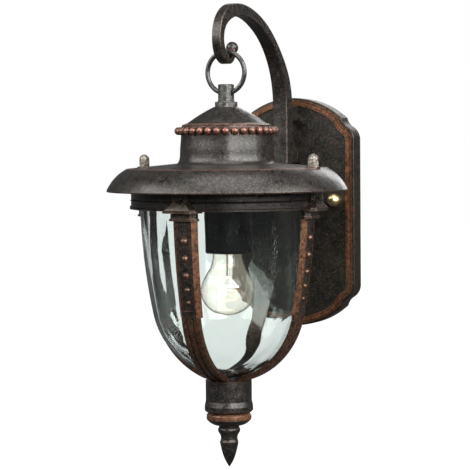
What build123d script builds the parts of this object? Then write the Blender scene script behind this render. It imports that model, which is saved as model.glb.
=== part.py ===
"""Outdoor wall lantern: a glazed bell lantern hung by a ring from a scroll arm on a dished wall plate.

Frame: the origin is on the wall, midway between the two wall screws of the mounting bar.
+Z is up, the lantern hangs out towards -Y, and +X is to the right for someone facing the wall.
"""

import os
from math import asin, cos, degrees, radians, sin, sqrt

from build123d import *

os.makedirs("parts", exist_ok=True)

# ---- overall sizes, in millimetres ----
brim_r = 101.6            # roof brim, outer radius
plate_w = 121.6           # wall plate, width
plate_h = 206.4           # wall plate, height
plate_depth = 18.5        # wall plate, wall to front moulding
plate_z = -11.3           # centre of the plate below the mounting bar
lug_top_z = 101.7         # top of the hanger lug

# ---- clearances ----
run_gap = 0.05            # thread or pin that turns in its hole, radial
slip_gap = 0.3            # loose hole round a stud or shank, radial
hang_gap = 0.4            # hanging ring above its saddle
brim_gap = 2.4            # brim to scroll arm

# ---- wall plate and what holds it ----
gasket_t = 1.5
plate_wall = 4.0
edge_step = 3.0           # depth of the moulded steps at the front edge
field_drop = 1.2
bar_w, bar_h, bar_t = 104.0, 22.0, 2.5
wall_screw_x = 28.0
wall_hole_r = 2.75
stud_x = 45.0
stud_r = 2.5
ball_nut_r = 6.0
supply_hole_r = 6.0
supply_z = 6.0

# ---- scroll arm ----
arm_w = 15.0
arm_tip_w = 8.0
arm_t = 12.5
arm_gap = 9.5             # arm leg to plate front
arm_leg = 75.0            # leg's lower end below the lug top
arm_round = 1.2
boss_h, boss_w = 15.0, 13.0
boss_zs = (77.2, 40.0)
arm_screw_r = 2.5
saddle_r = 4.0
ball_end_r = 5.2

# ---- hanging ring and lug ----
ring_r = 17.4             # centre line radius
wire_r = 2.0
eye_drop = 7.6            # eye's axis below the lug top
lug_r = 6.8
lug_h = 14.8
collar_r, collar_h = 9.5, 4.2
shank_r, shank_h = 7.4, 6.7

# ---- roof ----
dome_r = 37.6
dome_h = 16.7
shell_t = 3.0
bead_count = 34
bead_r = 3.3
bead_band_h = 6.8
neck_top_r, neck_foot_r = 38.4, 41.9
neck_h = 23.8
ridge_r = 84.4
ridge_drop = 4.1          # neck foot to ridge
brim_drop = 19.2          # ridge to brim edge
seat_r_in, seat_r_out = 73.0, 84.0
seat_drop = 4.1           # ridge to the flat seat under the brim
cap_nut_x = 80.0
cap_nut_r = 5.0
cage_stud_r = 2.0

gland_r = 3.95

# ---- nipple, shield and lampholder ----
nipple_r, nipple_bore_r = 5.0, 3.5
bridge_t = 2.5
bridge_lip = 4.5
shield_r, shield_t = 71.5, 1.0
holder_r = 20.2
holder_cap_h, holder_skirt_h = 19.0, 36.3
holder_wall = 2.2
socket_r = 14.2
flex_r = 3.0
core_r = 1.2

# ---- bulb ----
bulb_r = 22.5
bulb_cap_r = 13.1
bulb_drop = 39.1          # screw shell's lower edge to the centre of the bulb's globe
bulb_glass_t = 0.8

# ---- bell glass: a slack side arc and a rounder bottom arc that meet on one normal ----
side_arc_r = 503.0
bottom_arc_r = 68.9
join_r = 63.2
join_drop = 103.8         # brim edge to the join
join_angle = 11.65        # the shared normal's fall below level, degrees
glass_t = 3.0
glass_flat_r = 10.0       # flat under the glass
glass_flange_r, glass_flange_t = 77.0, 3.0

# ---- cage ----
ring_wall_r = 81.0
ring_wall_t = 3.4
ring_flange_t = 3.0
ring_ledge_t = 3.0
ring_bottom_drop = 14.5   # brim edge to the ring's lower edge
seal_t = 1.5
roof_seal_t = 2.0
strap_gap = 0.5
strap_t = 4.2
strap_w_top, strap_w_low = 22.6, 20.6
strap_bevel = 3.9
panel_drop = 101.5        # brim edge to the foot of the riveted panel
reed_w = 16.6
reed_depth = 1.4
tier_r = (82.3, 88.4)     # lower and upper tier of a strap's capital
strap_screw_r = 1.6
strap_angles = {"front": 270, "right": 0, "back": 90, "left": 180}
clip_angles = (45, 165, 285)
clip_screw_r = 1.4
foot_screw_r = 1.25
cup_r = 19.6
cup_drop = 159.5          # brim edge to the cup's top
cup_h = 28.5
cup_wall = 3.0
band_r = 20.6
cap_rim_r = 19.1
cup_cap_h = 11.0
tie_r = 3.0
finial_h = 36.0

# ---- derived places ----
reach = plate_depth + arm_gap + arm_t + brim_gap + brim_r
plate_front = plate_depth - field_drop
plate_inside = plate_depth - plate_wall
leg_front = plate_depth + arm_gap + arm_t
eye_z = lug_top_z - eye_drop
ring_z = eye_z + ring_r
saddle_z = ring_z + ring_r - wire_r - hang_gap
collar_z = lug_top_z - lug_h
dome_top_z = collar_z - collar_h
dome_foot_z = dome_top_z - dome_h
neck_top_z = dome_foot_z - bead_band_h
neck_foot_z = neck_top_z - neck_h
ridge_z = neck_foot_z - ridge_drop
brim_z = ridge_z - brim_drop
seat_z = ridge_z - seat_drop
ring_top_z = seat_z - roof_seal_t
ring_bottom_z = brim_z - ring_bottom_drop
ledge_z = ring_bottom_z + ring_ledge_t
flange_z = ledge_z + seal_t
join_z = brim_z - join_drop
cup_top_z = brim_z - cup_drop
cup_foot_z = cup_top_z - cup_h
strap_screw_z = flange_z + 9.0
clip_screw_z = flange_z + glass_flange_t + 6.0
shield_z = ring_top_z - shield_t - 0.5
gland_z = neck_top_z - neck_h * 0.42
holder_top_z = shield_z - 9.0
skirt_top_z = holder_top_z - holder_cap_h
skirt_foot_z = skirt_top_z - holder_skirt_h

axis = Axis((0, -reach, 0), (0, 0, 1))
profile = Plane.XZ.offset(reach)      # a sketch's x is the radius from the lantern's axis


def level(z):
    """Horizontal plane centred on the lantern's axis."""
    return Plane((0, -reach, z))


def spoke(angle):
    """Upright plane through the axis: x runs outwards along the angle, y is up."""
    out = Vector(cos(radians(angle)), sin(radians(angle)), 0)
    return Plane((0, -reach, 0), x_dir=out, z_dir=out.cross(Vector(0, 0, 1)))


def facing(angle, distance):
    """Upright plane square to a spoke at a distance from the axis: y is up, z is outwards."""
    out = Vector(cos(radians(angle)), sin(radians(angle)), 0)
    origin = Vector(0, -reach, 0) + out * distance
    return Plane(origin, x_dir=Vector(0, 0, 1).cross(out), z_dir=out)


def save(part, name):
    """Label a finished piece and write it to its own file."""
    part.label = name
    export_step(part, f"parts/{name}.step")


def washer(low, high, inner, outer):
    """Flat ring about the lantern's axis."""
    with BuildPart() as ring:
        with BuildSketch(level(low)):
            Circle(outer)
            Circle(inner, mode=Mode.SUBTRACT)
        extrude(amount=high - low)
    return ring.part


def bell_side(offset, z):
    """Point on the bell's side arc, moved outwards by an offset."""
    normal = radians(-join_angle)
    centre_r = join_r - side_arc_r * cos(normal)
    centre_z = join_z - side_arc_r * sin(normal)
    return (centre_r + sqrt((side_arc_r + offset) ** 2 - (z - centre_z) ** 2), z)


def bell_bottom(offset, angle):
    """Point on the bell's bottom arc, moved outwards by an offset, at an angle below level."""
    normal = radians(-join_angle)
    centre_r = join_r - bottom_arc_r * cos(normal)
    centre_z = join_z - bottom_arc_r * sin(normal)
    radius = bottom_arc_r + offset
    return (round(centre_r + radius * cos(radians(-angle)), 6), centre_z + radius * sin(radians(-angle)))


def bottom_angle(offset, r):
    """Angle below level at which the bell's bottom arc reaches a radius."""
    centre_r = join_r - bottom_arc_r * cos(radians(join_angle))
    return 90 - degrees(asin((r - centre_r) / (bottom_arc_r + offset)))


glass_flat_z = bell_bottom(0, bottom_angle(0, glass_flat_r))[1]
glass_floor_z = bell_bottom(-glass_t, bottom_angle(-glass_t, glass_flat_r))[1]


def bell_band(inner, outer, top, end_r):
    """Closed outline between two offsets of the bell, from a top level down to an inner radius."""
    lines = []
    for offset in (inner, outer):
        end = bottom_angle(offset, end_r)
        joint = bell_bottom(offset, join_angle)
        lines.append((bell_side(offset, top), bell_side(offset, (top + joint[1]) / 2), joint,
                      bell_bottom(offset, (join_angle + end) / 2), bell_bottom(offset, end)))
    near, far = lines
    ThreePointArc(*near[:3])
    ThreePointArc(*near[2:])
    Line(near[4], far[4])
    ThreePointArc(far[4], far[3], far[2])
    ThreePointArc(far[2], far[1], far[0])
    Line(far[0], near[0])


# ---- wall plate: cast dish with arched ends, notched shoulders and a stepped edge ----
def plate_outline(start, inset):
    """Outline of the plate at a distance off the wall, moved inwards by an inset."""
    half_w, half_h = plate_w / 2, plate_h / 2
    arch_rise = 18.4
    arch_x, arch_z = half_w - 12.3, plate_z + half_h - arch_rise
    arch_mid_x = arch_x * 0.55
    arch_r = (arch_x ** 2 + arch_rise ** 2) / (2 * arch_rise)
    arch_mid_z = plate_z + half_h - arch_r + sqrt(arch_r ** 2 - arch_mid_x ** 2)
    notch = (arch_x + 5.8, arch_z - 8.0)
    shoulder_z = arch_z - 18.5
    with BuildSketch(Plane.XZ.offset(start), mode=Mode.PRIVATE) as outline:
        with BuildLine():
            ThreePointArc((0, plate_z + half_h), (arch_mid_x, arch_mid_z), (arch_x, arch_z))
            ThreePointArc((arch_x, arch_z), (arch_x + 1.9, arch_z - 4.4), notch)
            ThreePointArc(notch, (half_w - 1.8, arch_z - 12.8), (half_w, shoulder_z))
            Polyline((half_w, shoulder_z), (half_w, plate_z), (0, plate_z), (0, plate_z + half_h))
        make_face()
        mirror(about=Plane.YZ)
        mirror(about=Plane((0, plate_z, 0), z_dir=(0, 1, 0)))
        if inset:
            offset(amount=-inset)
    return outline.sketch


def plate_layer(start, depth, inset, mode=Mode.ADD):
    """Slab of the plate's outline, from a distance off the wall."""
    extrude(plate_outline(start, inset), amount=depth, mode=mode)


with BuildPart() as wall_plate:
    plate_layer(gasket_t, plate_depth - edge_step - gasket_t, 0)
    front_rim = wall_plate.faces().sort_by(Axis.Y)[0].edges()
    fillet(front_rim, radius=1.0)
    plate_layer(plate_depth - edge_step, edge_step * 0.55, 2.2)
    plate_layer(plate_depth - edge_step, edge_step * 0.85, 4.0)
    plate_layer(plate_depth - edge_step, edge_step, 4.6)
    plate_layer(plate_front, field_drop, 7.0, Mode.SUBTRACT)
    plate_layer(gasket_t, plate_inside - gasket_t, plate_wall, Mode.SUBTRACT)
    with BuildSketch(Plane.XZ.offset(plate_inside)):
        with Locations((-stud_x, 0), (stud_x, 0)):
            Circle(stud_r + slip_gap)
        with Locations([(0, z) for z in boss_zs]):
            Circle(arm_screw_r + slip_gap)
        with Locations((0, supply_z)):
            Circle(supply_hole_r)
    extrude(amount=plate_wall, mode=Mode.SUBTRACT)
save(wall_plate.part, "wall_plate")

with BuildPart() as wall_gasket:
    plate_layer(0, gasket_t, 0.3)
    plate_layer(0, gasket_t, plate_wall - 0.3, Mode.SUBTRACT)
save(wall_gasket.part, "wall_gasket")


# ---- mounting bar, its two studs, ball nuts and earth screw ----
earth_x, earth_r = 12.0, 2.0

with BuildPart() as mounting_bar:
    with BuildSketch(Plane.XZ):
        RectangleRounded(bar_w, bar_h, 4)
        with Locations((-wall_screw_x, 0), (wall_screw_x, 0)):
            Circle(wall_hole_r, mode=Mode.SUBTRACT)
        with Locations((-stud_x, 0), (stud_x, 0)):
            Circle(stud_r, mode=Mode.SUBTRACT)
        with Locations((earth_x, 0)):
            Circle(earth_r, mode=Mode.SUBTRACT)
    extrude(amount=bar_t)
save(mounting_bar.part, "mounting_bar")

with BuildPart() as plate_studs:
    with BuildSketch(Plane.XZ.offset(0.2)):
        with Locations((-stud_x, 0), (stud_x, 0)):
            Circle(stud_r)
    extrude(amount=plate_front + ball_nut_r)
    chamfer(plate_studs.faces().group_by(Axis.Y)[0].edges(), length=0.5)
save(plate_studs.part, "plate_studs")

with BuildPart() as earth_screw:
    with BuildSketch(Plane.XZ.offset(0.2)):
        with Locations((earth_x, 0)):
            Circle(earth_r)
    extrude(amount=bar_t - 0.2)
    with BuildSketch(Plane.XZ.offset(bar_t)):
        with Locations((earth_x, 0)):
            Circle(4.0)
    extrude(amount=2.6)
    with BuildSketch(Plane.XZ.offset(bar_t + 1.6)):
        with Locations((earth_x, 0)):
            Rectangle(8.4, 1.1)
    extrude(amount=1.2, mode=Mode.SUBTRACT)
save(earth_screw.part, "earth_screw")


def ball_nut(x):
    """Brass ball nut on a plate stud: a short collar and a ball, bored from the back."""
    ball_y = -(plate_front + 2.0 + ball_nut_r * 0.85)
    with BuildPart() as nut:
        with BuildSketch(Plane((x, 0, 0), x_dir=(1, 0, 0), z_dir=(0, 0, 1))):
            with BuildLine():
                CenterArc((0, ball_y), ball_nut_r, -90, 180)
                Line((0, ball_y - ball_nut_r), (0, ball_y + ball_nut_r))
            make_face()
            with Locations((0, -plate_front)):
                Rectangle(4.2, 2.4, align=(Align.MIN, Align.MAX))
        revolve(axis=Axis((x, 0, 0), (0, 1, 0)))
        with BuildSketch(Plane.XZ.offset(plate_front)):
            with Locations((x, 0)):
                Circle(stud_r + run_gap)
        extrude(amount=ball_nut_r + 1.0, mode=Mode.SUBTRACT)
    return nut.part


for side, x in (("left", -stud_x), ("right", stud_x)):
    save(ball_nut(x), f"plate_nut_{side}")


# ---- supply entry: rubber grommet in the plate and a terminal block in the dish ----
with BuildPart() as plate_grommet:
    for start, depth, radius in ((plate_inside - 2.0, 2.0, 8.0), (plate_inside, plate_front - plate_inside,
                                 supply_hole_r), (plate_front, 2.0, 8.0)):
        with BuildSketch(Plane.XZ.offset(start)):
            with Locations((0, supply_z)):
                Circle(radius)
        extrude(amount=depth)
    with BuildSketch(Plane.XZ.offset(plate_inside - 2.0)):
        with Locations((0, supply_z)):
            Circle(flex_r + 0.2)
    extrude(amount=plate_wall + 4.0, mode=Mode.SUBTRACT)
save(plate_grommet.part, "plate_grommet")

with BuildPart() as supply_block:
    with BuildSketch(Plane.XZ.offset(plate_inside - 10.0)):
        with Locations((0, -34)):
            RectangleRounded(32, 16, 1.5)
    extrude(amount=10.0)
    with BuildSketch(Plane.XZ.offset(plate_inside - 10.0)):
        with Locations((0, -34)):
            with GridLocations(10, 8, 3, 2):
                Circle(2.0)
    extrude(amount=6.0, mode=Mode.SUBTRACT)
save(supply_block.part, "supply_block")


# ---- scroll arm: cast tapering bar that curls over to a ball end, on two bosses ----
arm_scale = (reach - leg_front) / 104.0    # the scroll's outline was drawn for a 104 mm throw


def arm_point(out, up):
    """Point of the scroll's outline: distance from the lantern's axis, height above the lug top."""
    return (-reach + out * arm_scale, lug_top_z + up)


saddle_up = saddle_z - lug_top_z
tail_up = saddle_up - 7.8
arm_back = arm_t / arm_scale + 104.0
outer_side = [arm_point(*p) for p in (
    (arm_back, -42), (arm_back, -22), (111.5, 5.6), (95.2, 30.0), (71.2, 51.6), (42.0, 65.2),
    (18.0, 68.8), (-1.5, 64.4),
    (-13.8, 53.5), (-17.9, 38.5), (-13.2, tail_up + 6.6), (0, tail_up), (10.6, saddle_up + 1.6))]
inner_side = [arm_point(*p) for p in (
    (104.0, -42), (104.0, -22), (100.6, 3.0), (88.5, 25.5), (71.5, 41.5), (52.0, 52.0), (33.0, 57.6),
    (15.0, 57.8),
    (1.5, 53.8), (-7.0, 47.0), (-9.8, 38.0), (-6.6, saddle_up + 4.0), (0, saddle_up),
    (7.2, saddle_up + 5.2))]
leg_foot = lug_top_z - arm_leg

with BuildPart() as scroll_arm:
    with BuildSketch(Plane.YZ):
        with BuildLine():
            Spline(*outer_side)
            Line(outer_side[-1], inner_side[-1])
            Spline(*reversed(inner_side))
            Line(inner_side[0], (inner_side[0][0], leg_foot + 4))
            ThreePointArc((inner_side[0][0], leg_foot + 4), (inner_side[0][0] + arm_t / 2, leg_foot),
                          (outer_side[0][0], leg_foot + 4))
            Line((outer_side[0][0], leg_foot + 4), outer_side[0])
        make_face()
    extrude(amount=arm_w / 2, both=True)
    with BuildSketch(Plane.XY.offset(leg_foot - 5)):
        Polygon((-arm_w / 2, -plate_depth), (arm_w / 2, -plate_depth), (arm_tip_w / 2, -reach - 20),
                (-arm_tip_w / 2, -reach - 20), align=None)
    extrude(amount=arm_leg + 90, mode=Mode.INTERSECT)
    long_edges = [e for e in scroll_arm.edges() if e.length > arm_w * 1.5]
    fillet(long_edges, radius=arm_round)
    with Locations((0, *arm_point(12.0, saddle_up + 6.2))):
        Sphere(ball_end_r)
    with BuildSketch(Plane.XZ.offset(plate_front)):
        with Locations([(0, z) for z in boss_zs]):
            RectangleRounded(boss_w, boss_h, 2.5)
    extrude(amount=leg_front - arm_t / 2 - plate_front)
    with BuildSketch(Plane.XZ.offset(reach - 3.0)):
        with Locations((0, saddle_z)):
            Rectangle(arm_w, 2 * saddle_r)
        with Locations((0, saddle_z - saddle_r)):
            Circle(saddle_r, mode=Mode.SUBTRACT)
        with Locations((0, saddle_z - saddle_r)):
            Rectangle(2 * saddle_r, saddle_r, align=(Align.CENTER, Align.MAX), mode=Mode.SUBTRACT)
    extrude(amount=6.0, mode=Mode.SUBTRACT)
    with BuildSketch(Plane.XZ.offset(plate_front)):
        with Locations([(0, z) for z in boss_zs]):
            Circle(arm_screw_r)
    extrude(amount=leg_front - 5 - plate_front, mode=Mode.SUBTRACT)
save(scroll_arm.part, "scroll_arm")

washer_t = 1.2
with BuildPart() as arm_screws:
    with BuildSketch(Plane.XZ.offset(plate_inside - washer_t)):
        with Locations([(0, z) for z in boss_zs]):
            Circle(arm_screw_r)
    extrude(amount=leg_front - 6 - plate_inside + washer_t)
    with BuildSketch(Plane.XZ.offset(plate_inside - washer_t - 3.0)):
        with Locations([(0, z) for z in boss_zs]):
            RegularPolygon(4.6, 6)
    extrude(amount=3.0)
save(arm_screws.part, "arm_screws")

with BuildPart() as arm_washers:
    with BuildSketch(Plane.XZ.offset(plate_inside - washer_t)):
        with Locations([(0, z) for z in boss_zs]):
            Circle(5.5)
            Circle(arm_screw_r + run_gap, mode=Mode.SUBTRACT)
    extrude(amount=washer_t)
save(arm_washers.part, "arm_washers")


# ---- hanging ring: bent wire, parallel to the wall, through the lug's eye and over the scroll ----
with BuildPart() as hanging_ring:
    with BuildSketch(level(ring_z)):
        with Locations((ring_r, 0)):
            Circle(wire_r)
    revolve(axis=Axis((0, -reach, ring_z), (0, 1, 0)))
save(hanging_ring.part, "hanging_ring")


# ---- hanger lug: turned stem with a flared cross eye, a collar and a shank bored for the nipple ----
shank_foot_z = dome_top_z - shank_h
eye_half = lug_r + 1.0
throat_r = ring_r - wire_r

with BuildPart() as hanger_lug:
    with BuildSketch(profile):
        with BuildLine():
            Polyline((0, lug_top_z), (lug_r - 0.6, lug_top_z), (lug_r, lug_top_z - 0.6),
                     (lug_r, collar_z + 1.2),
                     (lug_r + 1.0, collar_z), (collar_r, collar_z), (collar_r, dome_top_z),
                     (shank_r, dome_top_z), (shank_r, shank_foot_z), (0, shank_foot_z), (0, lug_top_z))
        make_face()
    revolve(axis=axis)
    with BuildSketch(profile):
        with BuildLine():
            flare = ring_r + 0.3 - sqrt(throat_r ** 2 - eye_half ** 2)
            ThreePointArc((-eye_half, eye_z + flare), (0, eye_z + wire_r + 0.3), (eye_half, eye_z + flare))
            Polyline((eye_half, eye_z + flare), (eye_half, eye_z), (-eye_half, eye_z),
                     (-eye_half, eye_z + flare))
        make_face()
    revolve(axis=Axis((0, -reach, eye_z), (1, 0, 0)), mode=Mode.SUBTRACT)
    with BuildSketch(level(shank_foot_z)):
        Circle(nipple_r)
    extrude(amount=9.0, mode=Mode.SUBTRACT)
save(hanger_lug.part, "hanger_lug")


# ---- roof cap: spun dome with a turned rim ----
crown_r = 10.5

with BuildPart() as roof_cap:
    with BuildSketch(profile):
        with BuildLine():
            Polyline((shank_r + run_gap, dome_top_z - 3.6), (shank_r + run_gap, dome_top_z),
                     (crown_r, dome_top_z))
            ThreePointArc((crown_r, dome_top_z), (25.2, dome_top_z - 8.2), (dome_r - 4.8, dome_top_z - 13.4))
            Polyline((dome_r - 4.8, dome_top_z - 13.4), (dome_r - 1.0, dome_foot_z + 2.0),
                     (dome_r, dome_foot_z + 1.4), (dome_r, dome_foot_z), (dome_r - 5.2, dome_foot_z))
            ThreePointArc((dome_r - 5.2, dome_foot_z), (24.4, dome_top_z - 11.4), (crown_r, dome_top_z - 3.6))
            Line((crown_r, dome_top_z - 3.6), (shank_r + run_gap, dome_top_z - 3.6))
        make_face()
    revolve(axis=axis)
save(roof_cap.part, "roof_cap")


# ---- bead ring: cast band of round beads between the cap and the neck ----
bead_pitch_r = dome_r + bead_r - 0.3

with BuildPart() as bead_ring:
    with BuildSketch(level(neck_top_z)):
        Circle(dome_r + 1.6)
        Circle(dome_r - 3.4, mode=Mode.SUBTRACT)
    extrude(amount=bead_band_h)
    with Locations(level((neck_top_z + dome_foot_z) / 2)):
        with PolarLocations(bead_pitch_r, bead_count):
            Sphere(bead_r)
save(bead_ring.part, "bead_ring")


# ---- roof shell: waisted neck and wide brim in one casting, with a flat seat for the cage ----
lip_z = neck_top_z - bridge_lip
lip_r = neck_top_r - shell_t - 4.0
nut_seat_z = ridge_z + (ridge_r - cap_nut_x) * ridge_drop / (ridge_r - neck_foot_r) + 0.7

with BuildPart() as roof_shell:
    with BuildSketch(profile):
        with BuildLine():
            Line((lip_r, neck_top_z), (neck_top_r, neck_top_z))
            Spline((neck_top_r, neck_top_z), (neck_top_r + 0.9, neck_top_z - neck_h * 0.55),
                   (neck_foot_r, neck_foot_z), tangents=[(0, -1), (0.8, -0.6)])
            Line((neck_foot_r, neck_foot_z), (ridge_r, ridge_z))
            ThreePointArc((ridge_r, ridge_z), (brim_r - 5.8, ridge_z - 9.0), (brim_r, brim_z + 1.0))
            Polyline((brim_r, brim_z + 1.0), (brim_r - 0.3, brim_z), (brim_r - shell_t, brim_z))
            ThreePointArc((brim_r - shell_t, brim_z), (brim_r - 9.4, ridge_z - 11.0), (seat_r_out, seat_z))
            Line((seat_r_out, seat_z), (seat_r_in, seat_z))
            Line((seat_r_in, seat_z), (seat_r_in, seat_z + 2.0))
            Line((seat_r_in, seat_z + 2.0), (neck_foot_r - 1.0, neck_foot_z - shell_t - 0.6))
            Spline((neck_foot_r - 1.0, neck_foot_z - shell_t - 0.6),
                   (neck_top_r + 0.9 - shell_t, neck_top_z - neck_h * 0.55),
                   (neck_top_r - shell_t, lip_z), tangents=[(-0.9, 0.45), (0, 1)])
            Polyline((neck_top_r - shell_t, lip_z), (lip_r, lip_z), (lip_r, neck_top_z))
        make_face()
    revolve(axis=axis)
    with BuildSketch(level(seat_z)):
        with Locations((-cap_nut_x, 0), (cap_nut_x, 0)):
            Circle(cap_nut_r + 1.2)
    extrude(amount=nut_seat_z - seat_z)
    with BuildSketch(level(seat_z)):
        with Locations((-cap_nut_x, 0), (cap_nut_x, 0)):
            Circle(cage_stud_r + slip_gap)
    extrude(amount=nut_seat_z - seat_z, mode=Mode.SUBTRACT)
    with BuildSketch(Plane.XZ.offset(reach)):
        with Locations((0, gland_z)):
            Circle(gland_r)
    extrude(amount=-neck_foot_r, mode=Mode.SUBTRACT)
save(roof_shell.part, "roof_shell")


# ---- central fixing: bridge, nipple tube, washer and nuts ----
bridge_top_z = lip_z
nut_h = 6.0
bridge_nut_z = bridge_top_z - bridge_t - 1.5 - nut_h

with BuildPart() as neck_bridge:
    with BuildSketch(level(bridge_top_z - bridge_t)):
        Circle(neck_top_r - shell_t - 0.8)
        Rectangle(90, 16, mode=Mode.INTERSECT)
        Circle(nipple_r + run_gap, mode=Mode.SUBTRACT)
    extrude(amount=bridge_t)
save(neck_bridge.part, "neck_bridge")

with BuildPart() as nipple_tube:
    with BuildSketch(level(holder_top_z - 6)):
        Circle(nipple_r)
        Circle(nipple_bore_r, mode=Mode.SUBTRACT)
    extrude(amount=shank_foot_z + 9.0 - holder_top_z + 6)
save(nipple_tube.part, "nipple_tube")

save(washer(bridge_top_z - bridge_t - 1.5, bridge_top_z - bridge_t, nipple_r, 9.5), "bridge_washer")


def nipple_nut(low):
    """Hexagon nut on the nipple tube."""
    with BuildPart() as nut:
        with BuildSketch(level(low)):
            RegularPolygon(9.2, 6)
            Circle(nipple_r, mode=Mode.SUBTRACT)
        extrude(amount=nut_h)
    return nut.part


save(nipple_nut(bridge_nut_z), "bridge_nut")
save(nipple_nut(shield_z + shield_t), "shield_nut")


# ---- heat shield: thin disc that closes the roof above the glass ----
lead_y = 15.8

with BuildPart() as heat_shield:
    with BuildSketch(level(shield_z)):
        Circle(shield_r)
        Circle(nipple_r, mode=Mode.SUBTRACT)
        with Locations((-3.5, lead_y), (3.5, lead_y)):
            Circle(core_r + 0.5, mode=Mode.SUBTRACT)
    extrude(amount=shield_t)
    with BuildSketch(level(shield_z - 3.0)):
        Circle(shield_r)
        Circle(shield_r - shield_t, mode=Mode.SUBTRACT)
    extrude(amount=3.0)
save(heat_shield.part, "heat_shield")

save(washer(holder_top_z, shield_z, nipple_r, 8.0), "shield_spacer")


# ---- wiring held inside the roof: gland, flex, terminal block and two leads ----
block_h = 11.0
block_top_z = shield_z + shield_t + block_h
gland_in = neck_top_r - shell_t - 2.4
flex_y = 22.0

with BuildPart() as terminal_block:
    with BuildSketch(level(shield_z + shield_t)):
        with Locations((0, lead_y + 4.5)):
            RectangleRounded(20, 15, 1.2)
    extrude(amount=block_h)
    with BuildSketch(level(shield_z + shield_t)):
        with Locations((-3.5, lead_y), (3.5, lead_y)):
            Circle(core_r)
    extrude(amount=5.0, mode=Mode.SUBTRACT)
    with BuildSketch(level(block_top_z - 3.0)):
        with Locations((0, flex_y)):
            Circle(flex_r)
    extrude(amount=3.0, mode=Mode.SUBTRACT)
save(terminal_block.part, "terminal_block")

with BuildPart() as roof_gland:
    for start, length, radius in ((gland_in, 2.2, 5.0), (gland_in, 9.0, gland_r),
                                  (neck_top_r + 1.6, 2.0, 5.0)):
        with BuildSketch(Plane.XZ.offset(reach - start)):
            with Locations((0, gland_z)):
                Circle(radius)
        extrude(amount=-length)
    with BuildSketch(Plane.XZ.offset(reach - gland_in)):
        with Locations((0, gland_z)):
            Circle(flex_r + 0.1)
    extrude(amount=-9.0, mode=Mode.SUBTRACT)
save(roof_gland.part, "roof_gland")

with BuildPart() as inner_flex:
    with BuildLine():
        FilletPolyline((0, -reach + gland_in + 6, gland_z), (0, -reach + flex_y, gland_z),
                       (0, -reach + flex_y, block_top_z - 3.0), radius=7.0)
    with BuildSketch(Plane.XZ.offset(reach - gland_in - 6)):
        with Locations((0, gland_z)):
            Circle(flex_r)
    sweep()
save(inner_flex.part, "inner_flex")

with BuildPart() as core_leads:
    with BuildSketch(level(holder_top_z - 8)):
        with Locations((-3.5, lead_y), (3.5, lead_y)):
            Circle(core_r)
    extrude(amount=shield_z + shield_t + 5.0 - holder_top_z + 8)
save(core_leads.part, "core_leads")


# ---- lampholder: two moulded shells, a ceramic core, a screw shell and a centre contact ----
with BuildPart() as holder_cap:
    with BuildSketch(profile):
        with BuildLine():
            Polyline((nipple_r, holder_top_z - 3), (nipple_r, holder_top_z), (holder_r - 6, holder_top_z))
            ThreePointArc((holder_r - 6, holder_top_z), (holder_r - 1.6, holder_top_z - 1.9),
                          (holder_r, holder_top_z - 6.5))
            Polyline((holder_r, holder_top_z - 6.5), (holder_r, skirt_top_z),
                     (holder_r - holder_wall, skirt_top_z),
                     (holder_r - holder_wall, holder_top_z - 6), (holder_r - 7, holder_top_z - 3),
                     (nipple_r, holder_top_z - 3))
        make_face()
    revolve(axis=axis)
    with BuildSketch(level(holder_top_z - 6.5)):
        with Locations((-3.5, lead_y), (3.5, lead_y)):
            Circle(core_r)
    extrude(amount=7.0, mode=Mode.SUBTRACT)
save(holder_cap.part, "holder_cap")

with BuildPart() as holder_skirt:
    with BuildSketch(profile):
        with BuildLine():
            Polyline((socket_r + 0.6, skirt_foot_z), (holder_r - 1, skirt_foot_z),
                     (holder_r, skirt_foot_z + 1),
                     (holder_r, skirt_top_z), (socket_r + 0.6, skirt_top_z), (socket_r + 0.6, skirt_foot_z))
        make_face()
    revolve(axis=axis)
save(holder_skirt.part, "holder_skirt")

socket_top_z = skirt_top_z
socket_foot_z = skirt_foot_z + 6.0
save(washer(socket_foot_z, socket_top_z, socket_r, socket_r + 0.6), "screw_shell")

core_foot_z = skirt_top_z
with BuildPart() as holder_core:
    with BuildSketch(level(core_foot_z)):
        Circle(holder_r - holder_wall - run_gap)
        Circle(1.6, mode=Mode.SUBTRACT)
        with Locations((-3.5, lead_y), (3.5, lead_y)):
            Circle(core_r + 0.6, mode=Mode.SUBTRACT)
    extrude(amount=5.0)
save(holder_core.part, "holder_core")

contact_foot_z = core_foot_z - 3.0
with BuildPart() as centre_contact:
    with BuildSketch(level(core_foot_z - 1.0)):
        Circle(5.0)
    extrude(amount=1.0)
    with BuildSketch(level(contact_foot_z)):
        Circle(2.6)
    extrude(amount=2.0)
    with BuildSketch(level(core_foot_z)):
        Circle(1.6)
    extrude(amount=6.0)
save(centre_contact.part, "centre_contact")


# ---- bulb: clear globe on a screw cap, with a glass stem and a filament ----
bulb_tip_z = contact_foot_z - 0.3
bulb_shell_z = bulb_tip_z - 24.0
globe_z = bulb_shell_z - bulb_drop
neck_r = bulb_cap_r - 0.6

with BuildPart() as bulb_glass:
    tangent_r = 17.2
    tangent_z = globe_z + sqrt(bulb_r ** 2 - tangent_r ** 2)
    with BuildSketch(profile):
        with BuildLine():
            CenterArc((0, globe_z), bulb_r, -90, 90 + degrees(asin((tangent_z - globe_z) / bulb_r)))
            Spline((tangent_r, tangent_z), (neck_r, bulb_shell_z),
                   tangents=[(-(tangent_z - globe_z), tangent_r), (0, 1)])
            Line((neck_r, bulb_shell_z), (0, bulb_shell_z))
            Line((0, bulb_shell_z), (0, globe_z - bulb_r))
        make_face()
    revolve(axis=axis)
    offset(amount=-bulb_glass_t, openings=bulb_glass.faces().sort_by(Axis.Z)[-1])
save(bulb_glass.part, "bulb_glass")

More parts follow.
